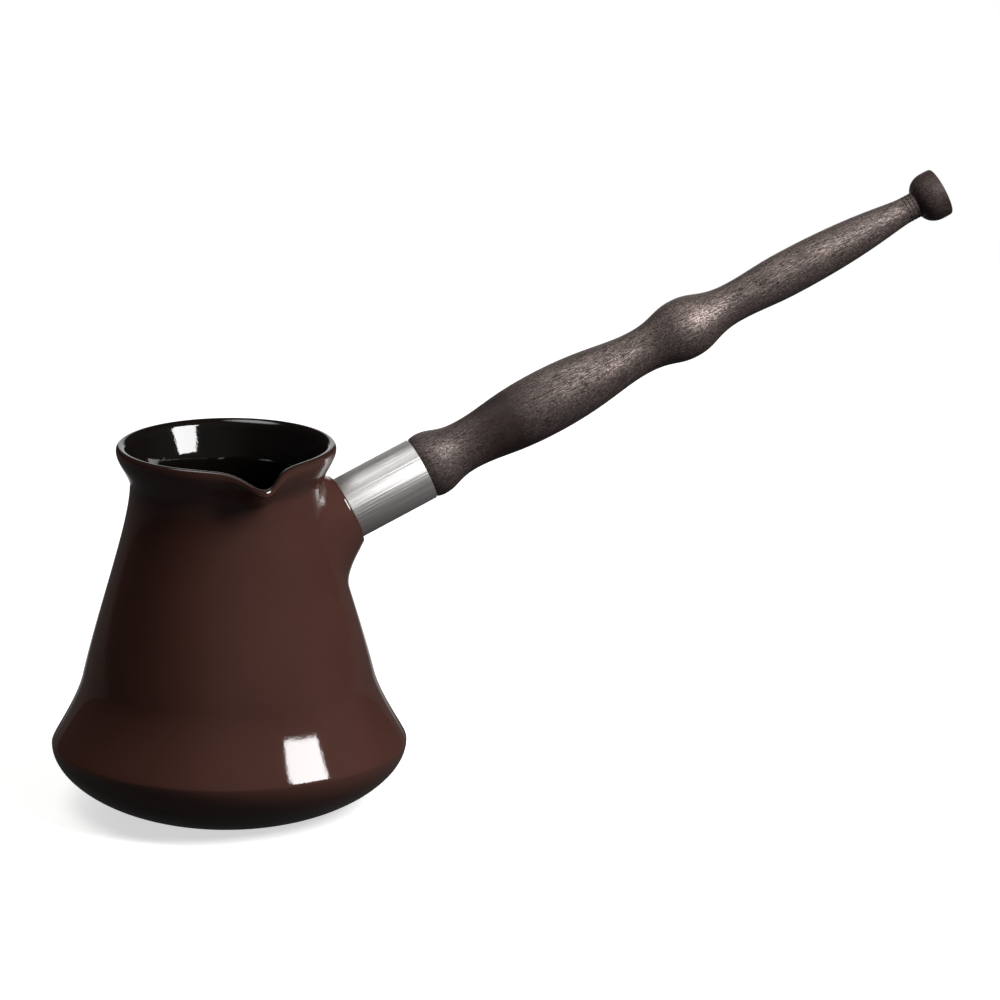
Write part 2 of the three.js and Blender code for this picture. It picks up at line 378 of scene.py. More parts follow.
# The wall is looked for between these distances along the handle's axis, by halving, and its lean where the
# blend leaves it is taken over a step
wall_nearest, wall_furthest = 15 * mm, 70 * mm
wall_halvings = 40
lean_step = 1 * mm

# The handle's own frame: its Z runs out along the handle from the axis of the pot, and its X looks down
handle_tilt = Matrix.Rotation(math.pi / 2 - handle_rise, 4, "Y")
handle_frame = Matrix.Translation((0, 0, handle_axis_height)) @ handle_tilt
into_handle = handle_frame.inverted()
outline_radii = np.array([radius for radius, height in outline])
outline_heights = np.array([height for radius, height in outline])
below_rim = outline_heights.argmax()


def wall_along(radius, turn):
    """Where a line beside the handle's axis, at this radius and turn round it, leaves the wall of the pot."""
    near, far = wall_nearest, wall_furthest
    for _ in range(wall_halvings):
        middle = (near + far) / 2
        place = handle_frame @ Vector((radius * math.cos(turn), radius * math.sin(turn), middle))
        wall_radius = np.interp(place.z, outline_heights[:below_rim], outline_radii[:below_rim])
        if math.hypot(place.x, place.y) < wall_radius:
            near = middle
        else:
            far = middle
    return near


def on_boss(turn, above, below):
    """A size of the boss at a turn round it: one above, where the neck crowds it, and another below."""
    share = max(0, -math.cos(turn)) ** 2
    return above * share + below * (1 - share)


def blend_root(turn):
    """How far out from the handle's axis the boss's blend starts."""
    return boss_radius + on_boss(turn, blend_reach_above, blend_reach_below)


def cubic(points, share):
    """A point on a cubic curve."""
    a, b, c, d = points
    rest = 1 - share
    return a * rest ** 3 + b * 3 * rest ** 2 * share + c * 3 * rest * share ** 2 + d * share ** 3


def boss_section(turn):
    """The (radius, along) points from the wall up the blend and round the edge of the boss."""
    root = blend_root(turn)
    points = []
    for radius in (root + boss_margin, root + boss_margin / 2):
        points.append(Vector((radius, wall_along(radius, turn))))
    foot = Vector((root, wall_along(root, turn)))
    inwards = root - lean_step
    lean = (Vector((inwards, wall_along(inwards, turn))) - foot).normalized()
    blend_start = on_boss(turn, blend_start_above, blend_start_below)
    edge = Vector((boss_radius, boss_end - boss_round))
    curve = [foot, foot + lean * blend_start, edge + Vector((blend_lean, -blend_climb)), edge]
    points += [cubic(curve, step / blend_steps) for step in range(blend_steps + 1)]
    for step in range(1, edge_steps + 1):
        angle = math.pi / 2 * step / edge_steps
        points.append(Vector((
            boss_radius - boss_round + boss_round * math.cos(angle),
            boss_end - boss_round + boss_round * math.sin(angle),
        )))
    return points


spigot_section = [
    (spigot_radius, boss_end),
    (spigot_radius, boss_end + spigot_length / 2),
    (spigot_radius, spigot_end - spigot_chamfer),
    (spigot_radius - spigot_chamfer, spigot_end),
    (bore_radius, spigot_end),
    (bore_radius, bore_end),
    (bore_radius / 2, bore_end),
]
boss_points = []
for column in range(boss_columns):
    turn = 2 * math.pi * column / boss_columns
    section = boss_section(turn) + [Vector(point) for point in spigot_section]
    for radius, along in section:
        boss_points.append(handle_frame @ Vector((radius * math.cos(turn), radius * math.sin(turn), along)))
rows = len(section)
boss_faces = []
for column in range(boss_columns):
    here, beside = column * rows, (column + 1) % boss_columns * rows
    for row in range(rows - 1):
        boss_faces.append((here + row, beside + row, beside + row + 1, here + row + 1))
boss_faces.append([column * rows + rows - 1 for column in range(boss_columns)])
boss_mesh = bpy.data.meshes.new("boss")
boss_mesh.from_pydata(boss_points, [], boss_faces)
boss = bpy.data.objects.new("boss", boss_mesh)
bpy.context.collection.objects.link(boss)
for material in pot.data.materials:
    boss_mesh.materials.append(material)
glazed_rows = rows - len(spigot_section)
for number, face in enumerate(boss_mesh.polygons):
    face.material_index = brown_slot if number % (rows - 1) < glazed_rows else clay_slot
boss_mesh.polygons[-1].material_index = clay_slot

bpy.ops.object.select_all(action="DESELECT")
bpy.context.view_layer.objects.active = pot
for face in pot.data.polygons:
    place = into_handle @ face.center
    turn = math.atan2(place.y, place.x)
    in_reach = math.hypot(place.x, place.y) < blend_root(turn) + boss_margin + hole_margin
    outwards = face.normal.x * face.center.x + face.normal.y * face.center.y > 0
    face.select = place.z > 0 and in_reach and outwards and face.center.z < rim_height
bpy.ops.object.mode_set(mode="EDIT")
bpy.ops.mesh.select_mode(type="FACE")
bpy.ops.mesh.delete(type="FACE")
bpy.ops.object.mode_set(mode="OBJECT")
pot.select_set(True)
boss.select_set(True)
bpy.ops.object.join()
bpy.ops.object.mode_set(mode="EDIT")
bpy.ops.mesh.select_mode(type="EDGE")
bpy.ops.mesh.select_all(action="DESELECT")
bpy.ops.mesh.select_non_manifold(
    extend=False, use_wire=False, use_multi_face=False, use_non_contiguous=False,
)
bpy.ops.mesh.bridge_edge_loops()
bpy.ops.mesh.select_all(action="SELECT")
bpy.ops.mesh.normals_make_consistent(inside=False)
bpy.ops.mesh.select_all(action="DESELECT")
bpy.ops.mesh.select_mode(type="VERT")
bpy.ops.object.mode_set(mode="OBJECT")
bpy.ops.object.shade_smooth_by_angle(angle=42 * degree)
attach(pot, "pot")
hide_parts("pot_body")


# Bush and its cement: fired clay can't hold a fine thread, so a bush of turned brass takes the stud's M6
# thread. A ring of pale cement sets it in the bore of the spigot, flush with its end.
fit_gap = 0.3 * mm
stud_radius = 3 * mm
thread_clearance = 0.1 * mm
bush_wall = 1.2 * mm
bush_radius = stud_radius + fit_gap + bush_wall
bush_length = 14 * mm
bush_start = spigot_end - bush_length
bush_edge = 0.2 * mm
cement_wall = 0.9 * mm
cement_radius = bush_radius + fit_gap + cement_wall
cement_edge = 0.1 * mm
cement_colour = "#d9d2c2"
cement_deep = "#bdb5a3"
brass_colour = "#c2a35c"
brass_roughness = 0.35
brass_mark_width = 0.3 * mm
mark_height = 0.02 * mm


def settle_on_handle(piece):
    """Sets a piece that was turned about Z on the handle's axis, with its place in its mesh."""
    bpy.ops.object.select_all(action="DESELECT")
    piece.select_set(True)
    bpy.context.view_layer.objects.active = piece
    piece.matrix_world = handle_frame @ piece.matrix_world
    bpy.ops.object.transform_apply(location=True, rotation=True, scale=True)
    return piece


def tube(name, inner, outer, start, end, edge, columns):
    """A turned tube on the handle's axis with its edges rounded."""
    bpy.ops.object.select_all(action="DESELECT")
    bpy.ops.mesh.primitive_cylinder_add(
        vertices=columns, radius=outer, depth=end - start, end_fill_type="NOTHING",
        location=(0, 0, (start + end) / 2),
    )
    piece = bpy.context.object
    piece.name = name
    shell = piece.modifiers.new("wall", "SOLIDIFY")
    shell.thickness = outer - inner
    shell.offset = -1
    bpy.ops.object.modifier_apply(modifier="wall")
    rounding = piece.modifiers.new("edges", "BEVEL")
    rounding.width = edge
    rounding.segments = 3
    rounding.limit_method = "ANGLE"
    rounding.angle_limit = 60 * degree
    bpy.ops.object.modifier_apply(modifier="edges")
    bpy.ops.object.shade_smooth_by_angle(angle=30 * degree)
    return settle_on_handle(piece)


def metal(name, colour, roughness, mark_width):
    """Turned or rolled metal: a mirror broken by the fine marks of the tool, so its highlights are soft."""
    material, tree, output = start_finish(name)
    place = add_node(tree, "ShaderNodeTexCoord").outputs["Object"]
    marks = add_node(tree, "ShaderNodeTexNoise", {"Vector": place, "Scale": 1 / mark_width, "Detail": 3})
    bump = add_node(tree, "ShaderNodeBump", {
        "Height": marks.outputs["Fac"], "Distance": mark_height, "Strength": 0.6,
    })
    shader = add_node(tree, "ShaderNodeBsdfPrincipled", {
        "Base Color": linear(colour), "Metallic": 1, "Roughness": roughness, "Normal": bump.outputs["Normal"],
    })
    tree.links.new(shader.outputs["BSDF"], output.inputs["Surface"])
    return material


bush = tube(
    "brass_bush", stud_radius + thread_clearance, bush_radius, bush_start, spigot_end, bush_edge, columns=64,
)
bush.data.materials.append(metal("turned_brass", brass_colour, brass_roughness, brass_mark_width))
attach(bush, "pot")
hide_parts("thread_bush")

cement = tube(
    "cement_ring", bush_radius + fit_gap, cement_radius, bush_start, spigot_end, cement_edge, columns=96,
)
cement.data.materials.append(bare_grit("set_cement", cement_colour, cement_deep))
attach(cement, "pot")
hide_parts("cement_bed")


# Washer: a flat ring of heat-proof rubber between the end of the spigot and the tenon of the grip, so that
# tightening the handle doesn't chip the clay. The stud passes through it.
washer_start = spigot_end + fit_gap
washer_thickness = 1.8 * mm
washer_end = washer_start + washer_thickness
washer_edge = 0.2 * mm
tenon_start = washer_end + fit_gap
rubber_colour = "#2c2b2c"
rubber_bloom_colour = "#3d3c3d"
bloom_width = 0.8 * mm
rubber_skin_height = 0.03 * mm

washer = tube(
    "rubber_washer", stud_radius + fit_gap, spigot_radius, washer_start, washer_end, washer_edge, columns=96,
)

# Moulded rubber: a dull dark skin with a faint grey bloom on it, so it has no highlight of its own
rubber, tree, output = start_finish("moulded_rubber")
place = add_node(tree, "ShaderNodeTexCoord").outputs["Object"]
bloom = add_node(tree, "ShaderNodeTexNoise", {"Vector": place, "Scale": 1 / bloom_width, "Detail": 3})
shade = add_node(tree, "ShaderNodeMix", {
    "Factor": bloom.outputs["Fac"], "A": linear(rubber_colour), "B": linear(rubber_bloom_colour),
}, data_type="RGBA")
skin = add_node(tree, "ShaderNodeBump", {
    "Height": bloom.outputs["Fac"], "Distance": rubber_skin_height, "Strength": 1,
})
shader = add_node(tree, "ShaderNodeBsdfPrincipled", {
    "Base Color": shade.outputs["Result"], "Roughness": 0.75, "Normal": skin.outputs["Normal"],
})
tree.links.new(shader.outputs["BSDF"], output.inputs["Surface"])
washer.data.materials.append(rubber)
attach(washer, "washer")
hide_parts("heat_washer")


# Stud: an M6 rod of zinc plated steel with a rolled thread, glued into the grip and screwed into the bush.
# The rod is turned plain, and its thread is then pressed in as a groove that winds round it.
thread_pitch = 1 * mm
thread_depth = 0.6 * mm
rows_per_turn = 8
stud_start = spigot_end - spigot_length
stud_hold = 22 * mm
stud_end = tenon_start + stud_hold
stud_chamfer = 0.6 * mm
stud_rows = int((stud_end - stud_start) / thread_pitch * rows_per_turn)
zinc_colour = "#c4c6c8"
zinc_roughness = 0.28
zinc_mark_width = 0.2 * mm

stud_knots = [corner((0, stud_start)), corner((stud_radius - stud_chamfer, stud_start))]
straight_length = stud_end - stud_start - 2 * stud_chamfer
for row in range(stud_rows + 1):
    stud_knots.append(corner((stud_radius, stud_start + stud_chamfer + straight_length * row / stud_rows)))
stud_knots += [corner((stud_radius - stud_chamfer, stud_end)), corner((0, stud_end))]
stud = turn_profile(draw_profile("steel_stud", stud_knots, steps=1), columns=48)
for point in stud.data.vertices:
    radius = math.hypot(point.co.x, point.co.y)
    if radius > stud_radius - stud_chamfer / 2:
        phase = (point.co.z / thread_pitch - math.atan2(point.co.y, point.co.x) / (2 * math.pi)) % 1
        groove = thread_depth * (1 - abs(2 * phase - 1))
        point.co.x *= (radius - groove) / radius
        point.co.y *= (radius - groove) / radius
bpy.ops.object.shade_smooth_by_angle(angle=30 * degree)
settle_on_handle(stud)
stud.data.materials.append(metal("plated_steel", zinc_colour, zinc_roughness, zinc_mark_width))
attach(stud, "handle")
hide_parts("handle_stud")


# Ferrule: a length of drawn steel tube, pressed on the tenon of the grip and slipped over the spigot, which
# it hides. It is polished on the lathe, and its edges are broken so that they don't cut.
ferrule_radius = 10.5 * mm
ferrule_wall = 0.8 * mm
ferrule_start = boss_end + fit_gap
ferrule_length = 27.3 * mm
ferrule_end = ferrule_start + ferrule_length
ferrule_edge = 0.2 * mm
steel_dark = "#d6d3d0"
steel_bright = "#fbfafa"
brush_width = 0.5 * mm
brush_length = 24 * mm
brush_height = 0.12 * mm
scuff_width = 0.35 * mm
scuff_length = 0.9 * mm
scuff_height = 0.03 * mm

ferrule = tube(
    "steel_ferrule", ferrule_radius - ferrule_wall, ferrule_radius, ferrule_start, ferrule_end,
    ferrule_edge, columns=192,
)


def along_handle(tree, width, length):
    """Object coordinates in the handle's own frame, with a pattern's width and length as their units."""
    place = add_node(tree, "ShaderNodeTexCoord").outputs["Object"]
    return add_node(tree, "ShaderNodeMapping", {
        "Vector": place, "Location": handle_frame.translation, "Rotation": handle_frame.to_euler(),
        "Scale": (width, width, length),
    }, vector_type="TEXTURE").outputs["Vector"]


# Brushed steel: fine rings from the lathe draw each light out into a band along the tube, long streaks from
# drawing it run through the band, and small scuffs dull it. The rings follow the UV map's way round the tube.
brushed, tree, output = start_finish("brushed_steel")
brushing = add_node(tree, "ShaderNodeTexNoise", {
    "Vector": along_handle(tree, brush_width, brush_length), "Scale": 1, "Detail": 4,
})
scuffs = add_node(tree, "ShaderNodeTexNoise", {
    "Vector": along_handle(tree, scuff_width, scuff_length), "Scale": 1, "Detail": 3,
})
shade = add_node(tree, "ShaderNodeMix", {
    "Factor": brushing.outputs["Fac"], "A": linear(steel_dark), "B": linear(steel_bright),
}, data_type="RGBA")
dullness = add_node(tree, "ShaderNodeMapRange", {
    "Value": brushing.outputs["Fac"], "From Min": 0.35, "From Max": 0.65, "To Min": 0.42, "To Max": 0.6,
})
around_tube = add_node(tree, "ShaderNodeTangent", direction_type="UV_MAP", uv_map="UVMap")
scuffing = add_node(tree, "ShaderNodeBump", {
    "Height": scuffs.outputs["Fac"], "Distance": scuff_height, "Strength": 1,
})
bump = add_node(tree, "ShaderNodeBump", {
    "Height": brushing.outputs["Fac"], "Distance": brush_height, "Strength": 1,
    "Normal": scuffing.outputs["Normal"],
})
shader = add_node(tree, "ShaderNodeBsdfPrincipled", {
    "Base Color": shade.outputs["Result"], "Metallic": 0.85, "Roughness": dullness.outputs["Result"],
    "Anisotropic": 0.7, "Anisotropic Rotation": 0.25, "Tangent": around_tube.outputs["Tangent"],
    "Normal": bump.outputs["Normal"],
})
tree.links.new(shader.outputs["BSDF"], output.inputs["Surface"])
ferrule.data.materials.append(brushed)
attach(ferrule, "handle")
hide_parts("ferrule")


# Grip: one stick of beech turned on a lathe, with a tenon that fills the ferrule, a swell for the palm, a
# bead, a longer swell for the fingers and a knob at its end. Each feature is (along, radius, roundness
# before it, roundness after it), measured from the shoulder at the ferrule.
shoulder = ferrule_end + fit_gap
collar_round = 0.5 * mm
collar_inset = 0.05 * mm
collar_swell = 0.3 * mm
line_width = 0.5 * mm
line_depth = 0.16 * mm
features = [
    (2.6 * mm, ferrule_radius + collar_swell, 0.6 * mm, 5.6 * mm),
    (16.3 * mm, 8.3 * mm, 7.6 * mm, 8.8 * mm),
    (45 * mm, 10.55 * mm, 15.1 * mm, 18.5 * mm),
    (80.5 * mm, 7.4 * mm, 9.7 * mm, 8.3 * mm),
    (97.1 * mm, 10.1 * mm, 6.8 * mm, 7.5 * mm),
    (116 * mm, 6.5 * mm, 10 * mm, 7.8 * mm),
    (137 * mm, 7.4 * mm, 10 * mm, 26 * mm),
]
tail_length = 184.3 * mm
tail_radius = 4.3 * mm
tail_round = 4.7 * mm
tail_swell = 0.1 * mm
tail_lines = 3
tail_line_spacing = 1.3 * mm
knob_radius = 8.2 * mm
knob_back_length = 6.2 * mm
knob_back_climb = 2.4 * mm
knob_back_lean = 0.9 * mm
knob_crown_run = 3.1 * mm
knob_front_length = 3.2 * mm
knob_face_radius = 7.7 * mm
knob_edge_round = 0.4 * mm
hole_radius = stud_radius + fit_gap
hole_depth = 23 * mm
hole_end = tenon_start + hole_depth
grip_steps = 24
grip_columns = 112

knob_start = shoulder + tail_length
knob_crown = knob_start + knob_back_length
knob_end = knob_crown + knob_front_length
knob_front = knob_end - knob_edge_round
collar_start_radius = ferrule_radius - collar_inset


def turned_line(centre, radius):
    """The knots of a fine line cut into the turned wood."""
    return [
        corner((radius, centre - line_width / 2)),
        corner((radius - line_depth, centre)),
        corner((radius, centre + line_width / 2)),
    ]


grip_knots = [
    corner((0, hole_end)),
    corner((hole_radius, hole_end)),
    corner((hole_radius, tenon_start)),
    corner((spigot_radius, tenon_start)),
    corner((spigot_radius, shoulder)),
    corner((collar_start_radius - collar_round, shoulder)),
    corner((collar_start_radius, shoulder + collar_round)),
]
for along_grip, radius, before, after in features:
    centre = shoulder + along_grip
    grip_knots.append(((radius, centre - before), (radius, centre), (radius, centre + after)))
tail_lines_start = knob_start - (tail_lines + 0.5) * tail_line_spacing
grip_knots.append((
    (tail_radius + tail_swell, tail_lines_start - tail_round),
    (tail_radius, tail_lines_start),
    (tail_radius, tail_lines_start),
))
for line in range(tail_lines):
    grip_knots += turned_line(tail_lines_start + (line + 0.5) * tail_line_spacing, tail_radius)
grip_knots += [
    (
        (tail_radius, knob_start - tail_line_spacing / 2),
        (tail_radius, knob_start),
        (tail_radius + knob_back_climb, knob_start + knob_back_lean),
    ),
    (
        (knob_radius, knob_crown - knob_crown_run),
        (knob_radius, knob_crown),
        (knob_radius, knob_front - knob_edge_round),
    ),
    (
        (knob_face_radius + knob_edge_round, knob_front),
        (knob_face_radius + knob_edge_round, knob_front),
        (knob_face_radius + knob_edge_round / 2, knob_end),
    ),
    corner((knob_face_radius, knob_end)),
    corner((0, knob_end)),
]
grip = turn_profile(draw_profile("turned_grip", grip_knots, grip_steps), grip_columns)
bpy.ops.object.shade_smooth_by_angle(angle=50 * degree)
settle_on_handle(grip)

# Stained beech: a near black stain that lies in the open pores, and paler fibres where it has worn, most of
# all on the swells. It has hardly worn past the first hollow and on the knob, which stay dark. Bare fibres
# give back a tinted satin lustre instead of an even scatter, so they shade as a rough, partly metallic
# surface does, brightest where they face between the lamp and the eye, and dark towards the edges.
stain_dark = "#1f1817"
stain_light = "#372824"
fibre_colour = "#b2a29d"
fleck_colour = "#c4b2aa"
pore_colour = "#171110"
fibre_width, fibre_length = 0.45 * mm, 3.2 * mm
band_width, band_length = 2.6 * mm, 30 * mm
fleck_width, fleck_length = 0.28 * mm, 0.75 * mm
patch_width, patch_length = 9 * mm, 16 * mm
fibre_height = 0.12 * mm
fleck_height = 0.08 * mm
# How far the stain has worn at the shoulder, at these distances beyond it, and at the end of the knob
wear_at_shoulder = "#c4c4c4"
wear_beyond = [
    (10 * mm, "#b4b4b4"), (24 * mm, "#4a4a4a"), (33 * mm, "#3c3c3c"), (46 * mm, "#d4d4d4"),
    (64 * mm, "#e4e4e4"), (85 * mm, "#cfcfcf"), (100 * mm, "#f2f2f2"), (116 * mm, "#cccccc"),
    (138 * mm, "#ececec"), (152 * mm, "#d6d6d6"), (174 * mm, "#b4b4b4"), (182 * mm, "#8c8c8c"),
    (186 * mm, "#6a6a6a"),
]
wear_at_end = "#5a5a5a"

wood, tree, output = start_finish("stained_beech")
fibre = add_node(tree, "ShaderNodeTexNoise", {
    "Vector": along_handle(tree, fibre_width, fibre_length), "Scale": 1, "Detail": 5, "Roughness": 0.65,
})
band = add_node(tree, "ShaderNodeTexNoise", {
    "Vector": along_handle(tree, band_width, band_length), "Scale": 1, "Detail": 3,
})
fleck = add_node(tree, "ShaderNodeTexNoise", {
    "Vector": along_handle(tree, fleck_width, fleck_length), "Scale": 1, "Detail": 2,
})
patch = add_node(tree, "ShaderNodeTexNoise", {
    "Vector": along_handle(tree, patch_width, patch_length), "Scale": 1, "Detail": 2,
})
length_along = add_node(tree, "ShaderNodeSeparateXYZ", {
    "Vector": along_handle(tree, knob_end, knob_end),
}).outputs["Z"]
wear_along = add_node(tree, "ShaderNodeValToRGB", {"Fac": length_along})
ramp = wear_along.color_ramp
ramp.elements[0].position = shoulder / knob_end
ramp.elements[0].color = linear(wear_at_shoulder)
ramp.elements[1].position = 1
ramp.elements[1].color = linear(wear_at_end)
for along_grip, grey in wear_beyond:
    ramp.elements.new((shoulder + along_grip) / knob_end).color = linear(grey)
patchiness = add_node(tree, "ShaderNodeMapRange", {
    "Value": patch.outputs["Fac"], "From Min": 0.3, "From Max": 0.7, "To Min": 0.5, "To Max": 1.25,
})
wear = add_node(tree, "ShaderNodeMath", {
    0: wear_along.outputs["Color"], 1: patchiness.outputs["Result"],
}, operation="MULTIPLY", use_clamp=True)
stain = add_node(tree, "ShaderNodeMix", {
    "Factor": band.outputs["Fac"], "A": linear(stain_dark), "B": linear(stain_light),
}, data_type="RGBA")
fibres_shown = add_node(tree, "ShaderNodeMapRange", {
    "Value": fibre.outputs["Fac"], "From Min": 0.38, "From Max": 0.68,
})
fibre_share = add_node(tree, "ShaderNodeMath", {
    0: fibres_shown.outputs["Result"], 1: wear.outputs[0],
}, operation="MULTIPLY")
worn = add_node(tree, "ShaderNodeMix", {
    "Factor": fibre_share.outputs[0], "A": stain.outputs["Result"], "B": linear(fibre_colour),
}, data_type="RGBA")
flecks_shown = add_node(tree, "ShaderNodeMapRange", {
    "Value": fleck.outputs["Fac"], "From Min": 0.58, "From Max": 0.72,
})
fleck_share = add_node(tree, "ShaderNodeMath", {
    0: flecks_shown.outputs["Result"], 1: wear.outputs[0],
}, operation="MULTIPLY")
flecked = add_node(tree, "ShaderNodeMix", {
    "Factor": fleck_share.outputs[0], "A": worn.outputs["Result"], "B": linear(fleck_colour),
}, data_type="RGBA")
pores_shown = add_node(tree, "ShaderNodeMapRange", {
    "Value": fleck.outputs["Fac"], "From Min": 0.42, "From Max": 0.32, "To Max": 0.8,
})
pored = add_node(tree, "ShaderNodeMix", {
    "Factor": pores_shown.outputs["Result"], "A": flecked.outputs["Result"], "B": linear(pore_colour),
}, data_type="RGBA")
lustre = add_node(tree, "ShaderNodeMapRange", {
    "Value": fibre_share.outputs[0], "From Max": 0.4, "To Max": 0.9,
})
gloss = add_node(tree, "ShaderNodeMapRange", {
    "Value": fibre_share.outputs[0], "To Min": 0.5, "To Max": 0.52,
})
grain_relief = add_node(tree, "ShaderNodeBump", {
    "Height": fibre.outputs["Fac"], "Distance": fibre_height, "Strength": 1,
})
bump = add_node(tree, "ShaderNodeBump", {
    "Height": fleck.outputs["Fac"], "Distance": fleck_height, "Strength": 1,
    "Normal": grain_relief.outputs["Normal"],
})
shader = add_node(tree, "ShaderNodeBsdfPrincipled", {
    "Base Color": pored.outputs["Result"], "Metallic": lustre.outputs["Result"],
    "Roughness": gloss.outputs["Result"], "Specular IOR Level": 0.3, "Normal": bump.outputs["Normal"],
})
tree.links.new(shader.outputs["BSDF"], output.inputs["Surface"])
grip.data.materials.append(wood)
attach(grip, "handle")
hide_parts("handle_grip")


# Floor: a sheet of white paper. The camera sees it white, with the pot's shadow near the pot, and further off
# it fades into the white backdrop. The glaze and the metal mirror it white where it lies behind the pot. To
# every other ray it is a grey studio floor, so that little light comes up from it.
floor_radius = 3
floor_sides = 128
floor_drop = 0.1 * mm
paper_colour = "#e9e8e6"
paper_lift = 0.62
fade_start = 0.3
fade_end = 0.9
floor_colour = "#404040"
mirrored_floor_colour = "#303030"
mirrored_glow = 0.025
# The white floor behind the pot starts beyond its foot, and narrows to nothing at both sides of it
white_start, white_full = 140 * mm, 260 * mm
white_inner, white_outer = 50 * mm, 130 * mm

bpy.ops.object.select_all(action="DESELECT")
bpy.ops.mesh.primitive_circle_add(
    vertices=floor_sides, radius=floor_radius, fill_type="NGON", location=(0, 0, -floor_drop),
)
floor = bpy.context.object
floor.name = "paper_floor"
bpy.ops.object.transform_apply(location=True, rotation=True, scale=True)
paper, tree, output = start_finish("white_paper")
place = add_node(tree, "ShaderNodeTexCoord").outputs["Object"]
distance = add_node(tree, "ShaderNodeVectorMath", {0: place}, operation="LENGTH")
far_off = add_node(tree, "ShaderNodeMapRange", {
    "Value": distance.outputs["Value"], "From Min": fade_start, "From Max": fade_end,
}, interpolation_type="SMOOTHSTEP")
ray = add_node(tree, "ShaderNodeLightPath")
behind_pot_direction = Vector((-camera_back.x, -camera_back.y, 0)).normalized()
beside_pot_direction = Vector((-camera_back.y, camera_back.x, 0)).normalized()
behind = add_node(tree, "ShaderNodeVectorMath", {0: place, 1: behind_pot_direction}, operation="DOT_PRODUCT")
behind_share = add_node(tree, "ShaderNodeMapRange", {
    "Value": behind.outputs["Value"], "From Min": white_start, "From Max": white_full,
})
aside = add_node(tree, "ShaderNodeVectorMath", {0: place, 1: beside_pot_direction}, operation="DOT_PRODUCT")
aside_size = add_node(tree, "ShaderNodeMath", {0: aside.outputs["Value"]}, operation="ABSOLUTE")
in_line = add_node(tree, "ShaderNodeMapRange", {
    "Value": aside_size.outputs[0], "From Min": white_outer, "From Max": white_inner,
})
behind_pot = add_node(tree, "ShaderNodeMath", {
    0: behind_share.outputs["Result"], 1: in_line.outputs["Result"],
}, operation="MULTIPLY")
mirrored = add_node(tree, "ShaderNodeMath", {
    0: ray.outputs["Is Glossy Ray"], 1: ray.outputs["Is Transmission Ray"],
}, operation="ADD")
mirrored_behind = add_node(tree, "ShaderNodeMath", {
    0: mirrored.outputs[0], 1: behind_pot.outputs[0],
}, operation="MULTIPLY")
seen = add_node(tree, "ShaderNodeMath", {
    0: ray.outputs["Is Camera Ray"], 1: mirrored_behind.outputs[0],
}, operation="ADD", use_clamp=True)
lift = add_node(tree, "ShaderNodeMath", {0: seen.outputs[0], 1: paper_lift}, operation="MULTIPLY")
glow_strength = add_node(tree, "ShaderNodeMath", {
    0: mirrored.outputs[0], 1: mirrored_glow, 2: lift.outputs[0],
}, operation="MULTIPLY_ADD")
floor_grey = add_node(tree, "ShaderNodeMix", {
    "Factor": mirrored.outputs[0], "A": linear(floor_colour), "B": linear(mirrored_floor_colour),
}, data_type="RGBA")
sheet_colour = add_node(tree, "ShaderNodeMix", {
    "Factor": seen.outputs[0], "A": floor_grey.outputs["Result"], "B": linear(paper_colour),
}, data_type="RGBA")
matt = add_node(tree, "ShaderNodeBsdfDiffuse", {"Color": sheet_colour.outputs["Result"]})
glow = add_node(tree, "ShaderNodeEmission", {
    "Color": linear("#ffffff"), "Strength": glow_strength.outputs[0],
})
near_floor = add_node(tree, "ShaderNodeAddShader", {0: matt.outputs[0], 1: glow.outputs[0]})
white = add_node(tree, "ShaderNodeEmission", {"Color": linear("#ffffff"), "Strength": 1})
fade = add_node(tree, "ShaderNodeMath", {
    0: far_off.outputs["Result"], 1: seen.outputs[0],
}, operation="MULTIPLY")
sheet = add_node(tree, "ShaderNodeMixShader", {
    0: fade.outputs[0], 1: near_floor.outputs[0], 2: white.outputs[0],
})
tree.links.new(sheet.outputs[0], output.inputs["Surface"])
floor.data.materials.append(paper)


# Studio light: a softbox to the right of the camera is the key, and a weak lamp behind fills the far side.
# The ferrule mirrors two pale panels, one overhead and a large dim one in front. The camera sees white all
# round, and the pot mirrors that only from the backdrop behind it. The rest of the room is dark.
lamp_aim = Vector((0.03, 0, 0.06))
key_azimuth = -45 * degree
key_elevation = 41 * degree
key_distance = 1.2
key_width = 0.52
key_height = 0.62
key_roll = -12 * degree
key_power = 17.3
overhead_azimuth = 170 * degree
overhead_elevation = 74 * degree
overhead_half_angle = 20 * degree
overhead_strength = 4.1
front_azimuth = -60 * degree
front_elevation = 14 * degree
front_half_angle = 80 * degree
front_strength = 0.06
fill_azimuth = 105 * degree
fill_elevation = 28 * degree
fill_distance = 1.6
fill_size = 1.2
fill_power = 11
room_strength = 0.012
backdrop_half_width = 18 * degree
backdrop_top = 30 * degree


def direction_of(azimuth, elevation):
    """The unit vector towards an azimuth and an elevation."""
    level = math.cos(elevation)
    return Vector((math.cos(azimuth) * level, math.sin(azimuth) * level, math.sin(elevation)))


key_direction = direction_of(key_azimuth, key_elevation)
bpy.ops.object.light_add(type="AREA", location=lamp_aim + key_direction * key_distance)
key = bpy.context.object
key.name = "key_softbox"
key_turn = (-key_direction).to_track_quat("-Z", "Y").to_matrix() @ Matrix.Rotation(key_roll, 3, "Z")
key.rotation_euler = key_turn.to_euler()
key.data.shape = "RECTANGLE"
key.data.size = key_width
key.data.size_y = key_height
key.data.energy = key_power
key.visible_camera = False

fill_direction = direction_of(fill_azimuth, fill_elevation)
bpy.ops.object.light_add(type="AREA", location=lamp_aim + fill_direction * fill_distance)
fill = bpy.context.object
fill.name = "fill_lamp"
fill.rotation_euler = (-fill_direction).to_track_quat("-Z", "Y").to_euler()
fill.data.size = fill_size
fill.data.energy = fill_power
fill.visible_camera = False
fill.visible_glossy = False

